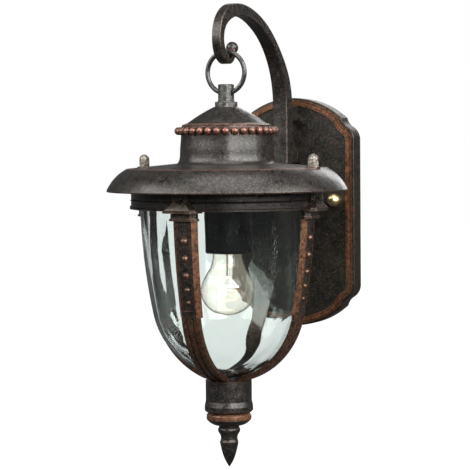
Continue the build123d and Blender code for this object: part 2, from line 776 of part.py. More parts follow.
with BuildPart() as bulb_cap:
    with BuildSketch(profile):
        with BuildLine():
            Polyline((bulb_cap_r - 1.2, bulb_shell_z), (bulb_cap_r, bulb_shell_z),
                     (bulb_cap_r, bulb_tip_z - 6),
                     (5.5, bulb_tip_z - 1.5), (5.5, bulb_tip_z - 3.2), (bulb_cap_r - 1.2, bulb_tip_z - 7),
                     (bulb_cap_r - 1.2, bulb_shell_z))
        make_face()
    revolve(axis=axis)
save(bulb_cap.part, "bulb_cap")

with BuildPart() as bulb_contact:
    with BuildSketch(level(bulb_tip_z - 3.2)):
        Circle(5.4)
    extrude(amount=1.7)
    with BuildSketch(level(bulb_tip_z - 1.5)):
        Circle(3.4)
    extrude(amount=1.5)
save(bulb_contact.part, "bulb_contact")

stem_z = globe_z + 10.0
with BuildPart() as bulb_stem:
    with BuildSketch(profile):
        with BuildLine():
            Polyline((0, stem_z), (1.6, stem_z), (2.2, bulb_shell_z - 6),
                     (neck_r - bulb_glass_t, bulb_shell_z - 0.5),
                     (neck_r - bulb_glass_t, bulb_shell_z), (0, bulb_shell_z), (0, stem_z))
        make_face()
    revolve(axis=axis)
save(bulb_stem.part, "bulb_stem")

with BuildPart() as filament:
    filament_z = globe_z + 1.5
    for x in (-9.0, 9.0):
        start = Vector(x / 9, -reach, stem_z - 0.4)
        end = Vector(x, -reach, filament_z)
        with BuildSketch(Plane(start, z_dir=end - start)):
            Circle(0.3)
        extrude(amount=(end - start).length)
    with BuildSketch(Plane((-9.4, -reach, filament_z), z_dir=(1, 0, 0))):
        Circle(0.55)
    extrude(amount=18.8)
save(filament.part, "filament")


# ---- roof seal and domed cap nuts ----
with BuildPart() as roof_gasket:
    with BuildSketch(level(ring_top_z)):
        Circle(seat_r_out - 0.5)
        Circle(seat_r_in + 0.5, mode=Mode.SUBTRACT)
        with Locations((-cap_nut_x, 0), (cap_nut_x, 0)):
            Circle(cage_stud_r + slip_gap, mode=Mode.SUBTRACT)
    extrude(amount=roof_seal_t)
save(roof_gasket.part, "roof_gasket")

cap_nut_hex_h = 4.6


def cap_nut(x):
    """Domed hexagon nut on a cage stud, standing on the brim."""
    with BuildPart() as nut:
        with BuildSketch(level(nut_seat_z)):
            with Locations((x, 0)):
                RegularPolygon(cap_nut_r, 6, major_radius=True)
        extrude(amount=cap_nut_hex_h)
        with BuildSketch(level(nut_seat_z)):
            with Locations((x, 0)):
                Circle(cap_nut_r - 0.7)
        extrude(amount=cap_nut_hex_h + 1.6)
        with Locations((x, -reach, nut_seat_z + cap_nut_hex_h + 1.6)):
            Sphere(cap_nut_r - 0.7)
        with BuildSketch(level(nut_seat_z)):
            with Locations((x, 0)):
                Circle(cage_stud_r + run_gap)
        extrude(amount=7.0, mode=Mode.SUBTRACT)
    return nut.part


for side, x in (("left", -cap_nut_x), ("right", cap_nut_x)):
    save(cap_nut(x), f"cap_nut_{side}")


# ---- cage ring: deep band with a top flange for the seal and an inner ledge for the glass ----
wall_in = ring_wall_r - ring_wall_t
ledge_r = glass_flange_r - 2.8

with BuildPart() as cage_ring:
    with BuildSketch(profile):
        with BuildLine():
            mid_z = (ring_bottom_z + brim_z) / 2
            Polyline((ledge_r, ring_bottom_z), (ring_wall_r + 0.8, ring_bottom_z), (ring_wall_r + 0.8,
                     ring_bottom_z + 1.2), (ring_wall_r, ring_bottom_z + 2.0), (ring_wall_r, mid_z - 0.9),
                     (ring_wall_r + 0.6, mid_z), (ring_wall_r, mid_z + 0.9),
                     (ring_wall_r, ring_top_z - ring_flange_t),
                     (seat_r_out, ring_top_z - ring_flange_t), (seat_r_out, ring_top_z),
                     (seat_r_in, ring_top_z),
                     (seat_r_in, ring_top_z - ring_flange_t), (wall_in, ring_top_z - ring_flange_t),
                     (wall_in, ledge_z), (ledge_r, ledge_z), (ledge_r, ring_bottom_z))
        make_face()
    revolve(axis=axis)
    with BuildSketch(level(ring_top_z - ring_flange_t)):
        with Locations((-cap_nut_x, 0), (cap_nut_x, 0)):
            Circle(cage_stud_r)
    extrude(amount=ring_flange_t, mode=Mode.SUBTRACT)
    for angle in strap_angles.values():
        with BuildSketch(facing(angle, wall_in - 1)):
            with Locations((0, strap_screw_z)):
                Circle(strap_screw_r)
        extrude(amount=ring_wall_t + 2, mode=Mode.SUBTRACT)
    for angle in clip_angles:
        with BuildSketch(facing(angle, wall_in - 0.3)):
            with Locations((0, clip_screw_z)):
                Circle(clip_screw_r)
        extrude(amount=2.6, mode=Mode.SUBTRACT)
save(cage_ring.part, "cage_ring")

with BuildPart() as cage_studs:
    with BuildSketch(level(ring_top_z - ring_flange_t)):
        with Locations((-cap_nut_x, 0), (cap_nut_x, 0)):
            Circle(cage_stud_r)
    extrude(amount=nut_seat_z + 6.0 - ring_top_z + ring_flange_t)
save(cage_studs.part, "cage_studs")


# ---- bell glass, its seal and its spring clips ----
save(washer(ledge_z, flange_z, ledge_r + 0.2, glass_flange_r + 0.2), "glass_seal")

with BuildPart() as glass_shade:
    with BuildSketch(profile):
        with BuildLine():
            bell_band(-glass_t, 0, flange_z + glass_flange_t, glass_flat_r)
        make_face()
        with Locations((0, glass_flat_z)):
            Rectangle(glass_flat_r, glass_floor_z - glass_flat_z, align=Align.MIN)
        with Locations((bell_side(-glass_t, flange_z)[0], flange_z)):
            Rectangle(glass_flange_r - bell_side(-glass_t, flange_z)[0], glass_flange_t, align=Align.MIN)
    revolve(axis=axis)
save(glass_shade.part, "glass_shade")

clip_foot_z = flange_z + glass_flange_t
with BuildPart() as glass_clips:
    for angle in clip_angles:
        with BuildSketch(spoke(angle)):
            with BuildLine():
                Polyline((wall_in - 3.6, clip_foot_z), (wall_in - 3.6, clip_foot_z + 1.0),
                         (wall_in - 1.2, clip_foot_z + 1.0), (wall_in - 1.2, clip_screw_z + 4),
                         (wall_in - 0.25, clip_screw_z + 4), (wall_in - 0.25, clip_foot_z),
                         (wall_in - 3.6, clip_foot_z))
            make_face()
        extrude(amount=4.5, both=True)
        with BuildSketch(facing(angle, wall_in - 2)):
            with Locations((0, clip_screw_z)):
                Circle(clip_screw_r)
        extrude(amount=2, mode=Mode.SUBTRACT)
save(glass_clips.part, "glass_clips")

with BuildPart() as clip_screws:
    for angle in clip_angles:
        for start, length, radius in ((wall_in - 2.6, 1.4, 2.6), (wall_in - 1.2, 3.5, clip_screw_r)):
            with BuildSketch(facing(angle, start)):
                with Locations((0, clip_screw_z)):
                    Circle(radius)
            extrude(amount=length)
save(clip_screws.part, "clip_screws")


# ---- straps: cast bars down the glass, each with a stepped capital, a riveted panel and reeds ----
panel_foot_z = brim_z - panel_drop
tier_z = ring_bottom_z - 0.1
tier_h = 7.6
field_top_z = tier_z - tier_h - 3.0
field_foot_z = panel_foot_z + 5.5
boss_drops = (38.6, 52.7, 66.7, 78.6, 89.1)     # brim edge to each round boss of the panel
boss_radii = (3.2, 2.9, 2.6, 2.3, 1.9)
strap_face = strap_gap + strap_t
foot_r = 12.2
foot_screw_at = 13.8


def side_band(inner, outer, top, low):
    """Closed outline between two offsets of the bell's side arc."""
    mid = (top + low) / 2
    ThreePointArc(bell_side(inner, top), bell_side(inner, mid), bell_side(inner, low))
    Line(bell_side(inner, low), bell_side(outer, low))
    ThreePointArc(bell_side(outer, low), bell_side(outer, mid), bell_side(outer, top))
    Line(bell_side(outer, top), bell_side(inner, top))


def radial(edge):
    """Distance of an edge's middle from the lantern's axis."""
    middle = edge.position_at(0.5)
    return sqrt(middle.X ** 2 + (middle.Y + reach) ** 2)


def capital_outline(back, front, half_front):
    """Plan of one step of a capital: a flat front with sides that slope back and then run straight."""
    slope = min(4.5, (front - back) / 2)
    half_back = half_front + slope
    Polygon((back, -half_back), (front - slope, -half_back), (front, -half_front), (front, half_front),
            (front - slope, half_back), (back, half_back), align=None)


def capital_plane(angle, z):
    """Level plane on the axis with x outwards along an angle."""
    return Plane((0, -reach, z), x_dir=(cos(radians(angle)), sin(radians(angle)), 0), z_dir=(0, 0, 1))


def strap(angle):
    """Whole strap at an angle about the lantern's axis."""
    with BuildPart() as bar:
        with BuildSketch(spoke(angle)):
            with BuildLine():
                side_band(strap_gap, strap_face, tier_z, panel_foot_z)
            make_face()
        extrude(amount=strap_w_top / 2, both=True)
        with BuildSketch(facing(angle, 0)):
            Polygon((-strap_w_top / 2, tier_z), (-strap_w_low / 2, panel_foot_z),
                    (strap_w_low / 2, panel_foot_z), (strap_w_top / 2, tier_z), align=None)
        extrude(amount=brim_r, mode=Mode.INTERSECT)
        long_edges = [e for e in bar.edges() if e.length > 60]
        chamfer(sorted(long_edges, key=radial)[-2:], length=strap_bevel)
        with BuildSketch(spoke(angle)):
            with BuildLine():
                side_band(strap_face - 0.8, strap_face + 2.0, field_top_z, field_foot_z)
            make_face()
        extrude(amount=strap_w_low / 2 - strap_bevel - 1.2, both=True, mode=Mode.SUBTRACT)
        for drop, radius in zip(boss_drops, boss_radii):
            r, z = bell_side(strap_face - 0.9, brim_z - drop)
            with Locations(facing(angle, r)):
                with Locations((0, z, 0)):
                    Sphere(radius)
        with BuildSketch(spoke(angle)):
            with BuildLine():
                bell_band(strap_gap, strap_face - reed_depth, panel_foot_z + 0.4, foot_r)
            make_face()
        extrude(amount=reed_w / 2, both=True)
        for middle in (-reed_w / 3, 0, reed_w / 3):
            for height, half in ((strap_face - reed_depth * 0.35, reed_w * 0.14),
                                 (strap_face, reed_w * 0.085)):
                with BuildSketch(spoke(angle).offset(middle)):
                    with BuildLine():
                        bell_band(strap_gap, height, panel_foot_z + 0.4, foot_r)
                    make_face()
                extrude(amount=half, both=True)
        split(bisect_by=Plane.XY.offset(cup_top_z), keep=Keep.TOP)
        back = bell_side(strap_gap, ring_bottom_z)[0]
        for low, high, front, half_front in (
                (tier_z - tier_h, tier_z, tier_r[0] - 0.9, 8.0),
                (tier_z - tier_h, tier_z - tier_h + 1.8, tier_r[0], 8.6)):
            with BuildSketch(capital_plane(angle, low)):
                capital_outline(back, front, half_front)
            extrude(amount=high - low)
        with BuildSketch(capital_plane(angle, tier_z - 1.2)):
            capital_outline(back, tier_r[1], 11.4)
        extrude(amount=1.2)
        wall_face = ring_wall_r + 0.8
        with BuildSketch(capital_plane(angle, tier_z)):
            capital_outline(wall_face - 1.0, tier_r[1], 11.4)
        extrude(amount=1.4)
        with BuildSketch(capital_plane(angle, tier_z + 1.4)):
            Polygon((wall_face - 1.0, -12.5), (tier_r[1] - 0.5, -11.0), (tier_r[1] - 0.5, 11.0),
                    (wall_face - 1.0, 12.5), align=None)
        with BuildSketch(capital_plane(angle, tier_z + 10.0)):
            Polygon((wall_face - 1.0, -8.0), (tier_r[1] - 4.2, -3.0), (tier_r[1] - 4.2, 3.0),
                    (wall_face - 1.0, 8.0), align=None)
        loft()
        with BuildSketch(capital_plane(angle, tier_z + 1.4)):
            Polygon((wall_face - 1.0, -8.0), (tier_r[1] - 4.2, -6.5), (tier_r[1] - 4.2, 6.5),
                    (wall_face - 1.0, 8.0), align=None)
        extrude(amount=18.0)
        with BuildSketch(level(ring_bottom_z)):
            Circle(wall_face)
        extrude(amount=60, mode=Mode.SUBTRACT)
        with BuildSketch(facing(angle, wall_in)):
            with Locations((0, strap_screw_z)):
                Circle(strap_screw_r)
        extrude(amount=5.6, mode=Mode.SUBTRACT)
        with BuildSketch(capital_plane(angle, cup_top_z)):
            with Locations((foot_screw_at, 0)):
                Circle(foot_screw_r)
        extrude(amount=1.8, mode=Mode.SUBTRACT)
    return bar.part


for side, angle in strap_angles.items():
    save(strap(angle), f"strap_{side}")

with BuildPart() as strap_screws:
    for angle in strap_angles.values():
        for start, length, radius in ((wall_in - 2.2, 2.0, 3.0), (wall_in - 0.2, 5.6, strap_screw_r)):
            with BuildSketch(facing(angle, start)):
                with Locations((0, strap_screw_z)):
                    Circle(radius)
            extrude(amount=length)
save(strap_screws.part, "strap_screws")


# ---- bottom cup, its screws and pad ----
cup_top_t = 4.0
cup_bore_r = cup_r - cup_wall
band_top_z = cup_top_z - 18.4
band_foot_z = cup_foot_z + 1.0

with BuildPart() as bottom_cup:
    with BuildSketch(profile):
        with BuildLine():
            Polyline((tie_r, cup_top_z), (cup_r - 0.8, cup_top_z), (cup_r, cup_top_z - 0.8),
                     (cup_r, band_top_z),
                     (band_r - 0.2, band_top_z - 3.4), (band_r, band_top_z - 4.2),
                     (band_r, band_foot_z + 1.0),
                     (band_r - 0.9, band_foot_z), (cap_rim_r - 0.9, cup_foot_z), (cup_bore_r, cup_foot_z),
                     (cup_bore_r, cup_top_z - cup_top_t), (tie_r, cup_top_z - cup_top_t), (tie_r, cup_top_z))
        make_face()
    revolve(axis=axis)
    with BuildSketch(level(cup_top_z - cup_top_t)):
        with PolarLocations(foot_screw_at, 4):
            Circle(foot_screw_r)
    extrude(amount=cup_top_t, mode=Mode.SUBTRACT)
save(bottom_cup.part, "bottom_cup")

with BuildPart() as foot_screws:
    for low, length, radius in ((cup_top_z - cup_top_t - 1.8, 1.8, 2.4),
                                (cup_top_z - cup_top_t, cup_top_t + 1.6, foot_screw_r)):
        with BuildSketch(level(low)):
            with PolarLocations(foot_screw_at, 4):
                Circle(radius)
        extrude(amount=length)
save(foot_screws.part, "foot_screws")

with BuildPart() as glass_pad:
    with BuildSketch(level(cup_top_z)):
        Circle(foot_r - 0.6)
    extrude(amount=glass_flat_z - cup_top_z)
save(glass_pad.part, "glass_pad")


# ---- cup cap, tie stud and its nut ----
cap_foot_z = cup_foot_z - cup_cap_h
stud_top_z = cup_top_z - 0.2
finial_bore = 12.0

with BuildPart() as cup_cap:
    with BuildSketch(profile):
        with BuildLine():
            Polyline((tie_r, cup_foot_z + 3.0), (cup_bore_r - run_gap, cup_foot_z + 3.0),
                     (cup_bore_r - run_gap, cup_foot_z), (cap_rim_r - 1.4, cup_foot_z),
                     (cap_rim_r - 1.4, cup_foot_z - 1.3), (cap_rim_r - 0.5, cup_foot_z - 1.5),
                     (cap_rim_r, cup_foot_z - 2.2), (cap_rim_r, cup_foot_z - 5.6))
            ThreePointArc((cap_rim_r, cup_foot_z - 5.6), (cap_rim_r - 3.4, cup_foot_z - 9.0),
                          (cap_rim_r - 9.6, cap_foot_z))
            Polyline((cap_rim_r - 9.6, cap_foot_z), (tie_r, cap_foot_z), (tie_r, cup_foot_z + 3.0))
        make_face()
    revolve(axis=axis)
save(cup_cap.part, "cup_cap")

with BuildPart() as finial_stud:
    with BuildSketch(level(cap_foot_z - finial_bore + 1.0)):
        Circle(tie_r)
    extrude(amount=stud_top_z - cap_foot_z + finial_bore - 1.0)
save(finial_stud.part, "finial_stud")

with BuildPart() as stud_nut:
    with BuildSketch(level(cup_top_z - cup_top_t - 5.0)):
        RegularPolygon(5.8, 6)
        Circle(tie_r, mode=Mode.SUBTRACT)
    extrude(amount=5.0)
save(stud_nut.part, "stud_nut")


# ---- finial: turned knob and spear that screws onto the tie stud ----
def finial_point(r, drop):
    """Point of the finial's outline, below the cup cap."""
    return (r, cap_foot_z - drop * finial_h / 36.0)


with BuildPart() as finial:
    with BuildSketch(profile):
        with BuildLine():
            Line(finial_point(0, 0), finial_point(8.6, 0))
            Line(finial_point(8.6, 0), finial_point(8.6, 1.8))
            ThreePointArc(finial_point(8.6, 1.8), finial_point(9.5, 4.2), finial_point(8.6, 6.6))
            ThreePointArc(finial_point(8.6, 6.6), finial_point(7.1, 10.6), finial_point(7.6, 13.6))
            Line(finial_point(7.6, 13.6), finial_point(8.0, 14.2))
            Spline(finial_point(8.0, 14.2), finial_point(6.1, 23.0), finial_point(3.4, 30.4), finial_point(0, 36.0))
            Line(finial_point(0, 36.0), finial_point(0, 0))
        make_face()
    revolve(axis=axis)
    with BuildSketch(level(cap_foot_z - finial_bore)):
        Circle(tie_r + run_gap)
    extrude(amount=finial_bore, mode=Mode.SUBTRACT)
save(finial.part, "finial")
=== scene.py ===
from math import cos, radians, sin

import bmesh
import bpy
from mathutils import Matrix, Vector


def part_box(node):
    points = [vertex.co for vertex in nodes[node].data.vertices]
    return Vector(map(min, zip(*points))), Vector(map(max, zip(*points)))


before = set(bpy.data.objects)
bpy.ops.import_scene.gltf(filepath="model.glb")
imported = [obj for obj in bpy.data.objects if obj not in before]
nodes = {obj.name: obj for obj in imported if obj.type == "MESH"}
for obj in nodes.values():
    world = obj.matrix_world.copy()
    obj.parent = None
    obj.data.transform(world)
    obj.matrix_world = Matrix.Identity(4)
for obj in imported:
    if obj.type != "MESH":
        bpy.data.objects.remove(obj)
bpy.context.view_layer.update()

# ---------------------------------------------------------------- wall plate
# The plate is an aluminium casting, painted near-black bronze and rubbed back
# to copper on its moulded edge. It is dished behind and stands on a thin gasket.


def start_material(name):
    """Material with a Principled shader; returns it with its tree and shader."""
    material = bpy.data.materials.new(name)
    material.use_nodes = True
    tree = material.node_tree
    return material, tree, tree.nodes["Principled BSDF"]


def add(tree, kind, links=(), **settings):
    """Node of that kind, its settings made and its inputs joined or filled."""
    made = tree.nodes.new("ShaderNode" + kind)
    for key, value in settings.items():
        setattr(made, key, value)
    for socket, source in dict(links).items():
        if isinstance(source, bpy.types.NodeSocket):
            tree.links.new(source, made.inputs[socket])
        else:
            made.inputs[socket].default_value = source
    return made


def grain(tree, place, scale, detail=4.0, rough=0.6):
    """Noise value at a real scale: scale is in repeats a metre."""
    settings = {"Vector": place, "Scale": scale, "Detail": detail, "Roughness": rough}
    return add(tree, "TexNoise", settings).outputs["Fac"]


def spread(tree, value, low, high, to_low=0.0, to_high=1.0):
    """Value stretched from one range onto another."""
    ranges = {"Value": value, "From Min": low, "From Max": high, "To Min": to_low, "To Max": to_high}
    return add(tree, "MapRange", ranges).outputs["Result"]


def blend_colour(tree, amount, first, second):
    """Colour between first and second."""
    made = add(tree, "Mix", data_type="RGBA")
    for index, source in ((0, amount), (6, first), (7, second)):
        if isinstance(source, bpy.types.NodeSocket):
            tree.links.new(source, made.inputs[index])
        else:
            made.inputs[index].default_value = (*source, 1.0) if index else source
    return made.outputs[2]


def times(tree, first, second):
    """Product of two values."""
    return add(tree, "Math", {0: first, 1: second}, operation="MULTIPLY").outputs[0]


def band(tree, value, low, high, soft):
    """One between low and high, falling to nothing over a soft margin outside them."""
    rise = spread(tree, value, low - soft, low)
    return times(tree, rise, spread(tree, value, high + soft, high))


def larger(tree, first, second):
    """Larger of two values."""
    return add(tree, "Math", {0: first, 1: second}, operation="MAXIMUM", use_clamp=True).outputs[0]


def aged_bronze(name, dark, light, copper, wear=1.0, edge=0.0007, rough=(0.26, 0.46), rubbed=None,
                shine=0.35):
    """Mottled bronze paint on a casting, rubbed to copper along its edges and wherever rubbed says."""
    material, tree, shader = start_material(name)
    place = add(tree, "TexCoord").outputs["Object"]
    cloud = spread(tree, grain(tree, place, 150, 6, 0.7), 0.36, 0.66)
    speck = spread(tree, grain(tree, place, 620, 3, 0.8), 0.52, 0.64)
    pepper = spread(tree, grain(tree, place, 540, 2, 0.8), 0.46, 0.36)
    green = spread(tree, grain(tree, place, 45, 3, 0.5), 0.50, 0.70, 0.0, 0.5)
    body = blend_colour(tree, cloud, dark, light)
    body = blend_colour(tree, green, body, (light[0] * 0.62, light[1] * 0.80, light[2] * 0.66))
    body = blend_colour(tree, times(tree, speck, 0.65), body, tuple(min(1.0, c * 2.8) for c in light))
    body = blend_colour(tree, times(tree, pepper, 0.75), body, tuple(c * 0.35 for c in dark))
    round_normal = add(tree, "Bevel", {"Radius": edge}, samples=6).outputs["Normal"]
    flat_normal = add(tree, "NewGeometry").outputs["Normal"]
    lean = add(tree, "VectorMath", {0: round_normal, 1: flat_normal}, operation="DOT_PRODUCT")
    corner = spread(tree, lean.outputs["Value"], 0.990, 0.88)
    if rubbed:
        corner = larger(tree, corner, rubbed(tree, place))
    rub = spread(tree, grain(tree, place, 300, 5, 0.75), 0.36, 0.58, 0.15, 1.0)
    worn = times(tree, times(tree, corner, rub), wear)
    patch = times(tree, spread(tree, grain(tree, place, 75, 7, 0.8), 0.60, 0.72), 0.42 * wear)
    bare = larger(tree, worn, patch)
    stain = spread(tree, grain(tree, place, 420, 3, 0.6), 0.40, 0.62)
    warm = blend_colour(tree, stain, copper, tuple(c * 0.42 for c in copper))
    tree.links.new(blend_colour(tree, bare, body, warm), shader.inputs["Base Color"])
    tree.links.new(spread(tree, cloud, 0.0, 1.0, *rough), shader.inputs["Roughness"])
    shader.inputs["Metallic"].default_value = 0.60
    shader.inputs["Coat Weight"].default_value = shine
    shader.inputs["Coat Roughness"].default_value = 0.22
    pits = add(tree, "Bump", {"Strength": 0.55, "Distance": 0.0004, "Height": grain(tree, place, 640, 5, 0.75)})
    lumps = add(tree, "Bump", {"Strength": 0.22, "Distance": 0.0012, "Height": grain(tree, place, 95, 2, 0.5),
                               "Normal": pits.outputs["Normal"]})
    tree.links.new(lumps.outputs["Normal"], shader.inputs["Normal"])
    return material


def finish_node(material, *names):
    """Gives CAD nodes that material, and no other."""
    for name in names:
        mesh = nodes[name].data
        mesh.materials.clear()
        mesh.materials.append(material)


plate_dark = (0.0085, 0.0072, 0.0055)
plate_light = (0.031, 0.026, 0.020)
old_penny = (0.42, 0.155, 0.060)
plate_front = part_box("wall_plate")[0][1]


def plate_mouldings(tree, place):
    """The two raised lines round the plate's face."""
    depth = add(tree, "SeparateXYZ", {0: place}).outputs["Y"]
    top_line = spread(tree, depth, plate_front + 0.0007, plate_front + 0.0004)
    step_line = band(tree, depth, plate_front + 0.00130, plate_front + 0.00140, 0.00004)
    return larger(tree, times(tree, top_line, 0.42), times(tree, step_line, 0.25))


plate_bronze = aged_bronze("plate_bronze", plate_dark, plate_light, old_penny, rubbed=plate_mouldings,
                           edge=0.0010, rough=(0.36, 0.58), shine=0.15)
finish_node(plate_bronze, "wall_plate")

# -------------------------------------------------------- gasket and rubber
# Foam gasket behind the plate, and the rubber of the grommet, the gland and
# the seals: moulded black rubber with a fine dry skin.


def black_rubber(name, tone):
    """Matt rubber with a fine skin and a little dust."""
    material, tree, shader = start_material(name)
    place = add(tree, "TexCoord").outputs["Object"]
    dust = spread(tree, grain(tree, place, 180, 5), 0.45, 0.75)
    dusty = (tone * 2.6, tone * 2.6, tone * 2.5)
    tree.links.new(blend_colour(tree, dust, (tone, tone, tone), dusty), shader.inputs["Base Color"])
    tree.links.new(spread(tree, dust, 0.0, 1.0, 0.62, 0.85), shader.inputs["Roughness"])
    skin = add(tree, "Bump", {"Strength": 0.3, "Distance": 0.0002, "Height": grain(tree, place, 1500, 3)})
    tree.links.new(skin.outputs["Normal"], shader.inputs["Normal"])
    return material


finish_node(black_rubber("rubber_black", 0.018), "wall_gasket", "plate_grommet", "roof_gland", "glass_seal",
            "roof_gasket", "glass_pad")
finish_node(black_rubber("flex_jacket", 0.03), "inner_flex", "core_leads")

# --------------------------------------------------- mounting bar and steel
# The pressed steel bar, the studs, screws, washers and nuts, and the threaded
# tube are zinc plated: bright, faintly blue and yellow, with fine drawn lines.


def plated_steel(name, tone, rough):
    """Zinc plate with cloudy passivation and fine scratches."""
    material, tree, shader = start_material(name)
    place = add(tree, "TexCoord").outputs["Object"]
    cloud = spread(tree, grain(tree, place, 90, 4), 0.4, 0.65)
    colour = blend_colour(tree, cloud, tone, (tone[0] * 0.82, tone[1] * 0.80, tone[2] * 0.70))
    tree.links.new(colour, shader.inputs["Base Color"])
    shader.inputs["Metallic"].default_value = 1.0
    tree.links.new(spread(tree, grain(tree, place, 420, 3), 0.3, 0.7, rough, rough + 0.18), shader.inputs["Roughness"])
    drawn = add(tree, "Mapping", {"Vector": place, "Scale": (900.0, 900.0, 40.0)}).outputs["Vector"]
    lines = add(tree, "Bump", {"Strength": 0.12, "Distance": 0.0001, "Height": grain(tree, drawn, 1.0, 2)})
    tree.links.new(lines.outputs["Normal"], shader.inputs["Normal"])
    return material


finish_node(plated_steel("zinc_steel", (0.62, 0.62, 0.61), 0.28), "mounting_bar", "plate_studs",
            "earth_screw", "arm_screws", "arm_washers", "neck_bridge", "nipple_tube", "bridge_washer",
            "bridge_nut", "shield_nut", "shield_spacer", "cage_studs", "clip_screws", "glass_clips",
            "strap_screws", "foot_screws", "finial_stud", "stud_nut")

# ------------------------------------------------------ terminal blocks
# The supply block in the plate and the terminal block in the neck are white
# moulded polyamide, slightly yellowed and soft at the edges.
block_white, tree, shader = start_material("block_white")
place = add(tree, "TexCoord").outputs["Object"]
aged = spread(tree, grain(tree, place, 60, 3), 0.4, 0.7)
tree.links.new(blend_colour(tree, aged, (0.78, 0.77, 0.72), (0.70, 0.67, 0.57)), shader.inputs["Base Color"])
shader.inputs["Roughness"].default_value = 0.45
skin = add(tree, "Bump", {"Strength": 0.15, "Distance": 0.0002, "Height": grain(tree, place, 900, 3)})
tree.links.new(skin.outputs["Normal"], shader.inputs["Normal"])
finish_node(block_white, "supply_block", "terminal_block")

# ------------------------------------------------------------ ball nuts
# Two turned brass ball nuts hold the plate to the bar's studs. They are
# lacquered and bright, with fine turning marks and a little tarnish.
ball_brass, tree, shader = start_material("ball_brass")
place = add(tree, "TexCoord").outputs["Object"]
tarnish = spread(tree, grain(tree, place, 300, 4), 0.50, 0.72, 0.0, 0.6)
tree.links.new(blend_colour(tree, tarnish, (0.66, 0.52, 0.27), (0.26, 0.19, 0.10)), shader.inputs["Base Color"])
shader.inputs["Metallic"].default_value = 1.0
tree.links.new(spread(tree, tarnish, 0.0, 1.0, 0.34, 0.50), shader.inputs["Roughness"])
turned = add(tree, "Bump", {"Strength": 0.08, "Distance": 0.0001, "Height": grain(tree, place, 1600, 2)})
tree.links.new(turned.outputs["Normal"], shader.inputs["Normal"])
finish_node(ball_brass, "plate_nut_left", "plate_nut_right", "centre_contact")

# ------------------------------------------------------------ scroll arm
# One cast bar, screwed to the plate through two bosses, that rises, arches
# over the lantern and curls down to a ball. Its long edges are rubbed bright.
night_brown = (0.0115, 0.0100, 0.0090)
walnut = (0.044, 0.038, 0.033)
arm_copper = (0.34, 0.17, 0.115)
arm_bronze = aged_bronze("arm_bronze", night_brown, walnut, arm_copper, edge=0.0022, rough=(0.22, 0.40))
finish_node(arm_bronze, "scroll_arm")

# ------------------------------------------------------------ hanging ring
# A welded ring of 4 mm steel wire, threaded through the curl and the lug,
# painted bronze and worn to grey steel where it rubs.
wire_dark = (0.026, 0.025, 0.024)
wire_light = (0.070, 0.067, 0.064)
wire_bare = (0.20, 0.17, 0.15)
ring_steel = aged_bronze("ring_steel", wire_dark, wire_light, wire_bare, wear=0.6, rough=(0.22, 0.36))
finish_node(ring_steel, "hanging_ring")

# ------------------------------------------------------- lug, cap and beads
# The turned lug screws onto the threaded tube and clamps the domed cap, the
# ring of beads and the roof. The lug is greyer; the beads are rubbed to copper.
lantern_y = sum(corner[1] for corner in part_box("roof_shell")) / 2


def off_axis(tree, place):
    """Distance from the lantern's upright axis."""
    from_axis = add(tree, "VectorMath", {0: place, 1: (0.0, lantern_y, 0.0)}, operation="SUBTRACT").outputs["Vector"]
    level = add(tree, "VectorMath", {0: from_axis, 1: (1.0, 1.0, 0.0)}, operation="MULTIPLY").outputs["Vector"]
    return add(tree, "VectorMath", {0: level}, operation="LENGTH").outputs["Value"]


bead_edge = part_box("bead_ring")[1][0]
dome_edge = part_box("roof_cap")[1][0]
brim_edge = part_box("roof_shell")[1][0]


def bead_fronts(tree, place):
    """The outer face of each bead."""
    return spread(tree, off_axis(tree, place), bead_edge - 0.0038, bead_edge - 0.0006)


def dome_rim(tree, place):
    """The turned rim at the foot of the dome."""
    return band(tree, off_axis(tree, place), dome_edge - 0.0030, dome_edge - 0.0004, 0.0004)


def brim_ridge(tree, place):
    """The thin ridge round the top of the brim."""
    return band(tree, off_axis(tree, place), brim_edge - 0.0178, brim_edge - 0.0168, 0.0006)


iron_grey = (0.040, 0.038, 0.036)
worn_grey = (0.100, 0.096, 0.091)
lug_copper = (0.26, 0.20, 0.16)
bead_light = (0.05, 0.034, 0.027)
bead_red = (0.36, 0.145, 0.095)
dome_copper = (0.40, 0.20, 0.14)
brim_copper = (0.36, 0.17, 0.11)
lug_bronze = aged_bronze("lug_bronze", iron_grey, worn_grey, lug_copper, wear=0.5, rough=(0.30, 0.46))
bead_copper = aged_bronze("bead_copper", night_brown, bead_light, bead_red, rubbed=bead_fronts, rough=(0.20, 0.34))
finish_node(lug_bronze, "hanger_lug")
finish_node(bead_copper, "bead_ring")
finish_node(aged_bronze("cap_bronze", night_brown, walnut, dome_copper, rubbed=dome_rim), "roof_cap")
finish_node(aged_bronze("roof_bronze", night_brown, walnut, brim_copper, rubbed=brim_ridge), "roof_shell")

# ------------------------------------------------------- cap nuts
# Two domed hexagon nuts on the cage's long studs hold the cage up under the
# roof. They are nickel bronze, brighter than the roof.
nut_dark = (0.10, 0.088, 0.074)
nut_light = (0.25, 0.22, 0.185)
nut_bare = (0.40, 0.30, 0.22)
nut_bronze = aged_bronze("nut_bronze", nut_dark, nut_light, nut_bare, wear=0.8, rough=(0.3, 0.45))
finish_node(nut_bronze, "cap_nut_left", "cap_nut_right")

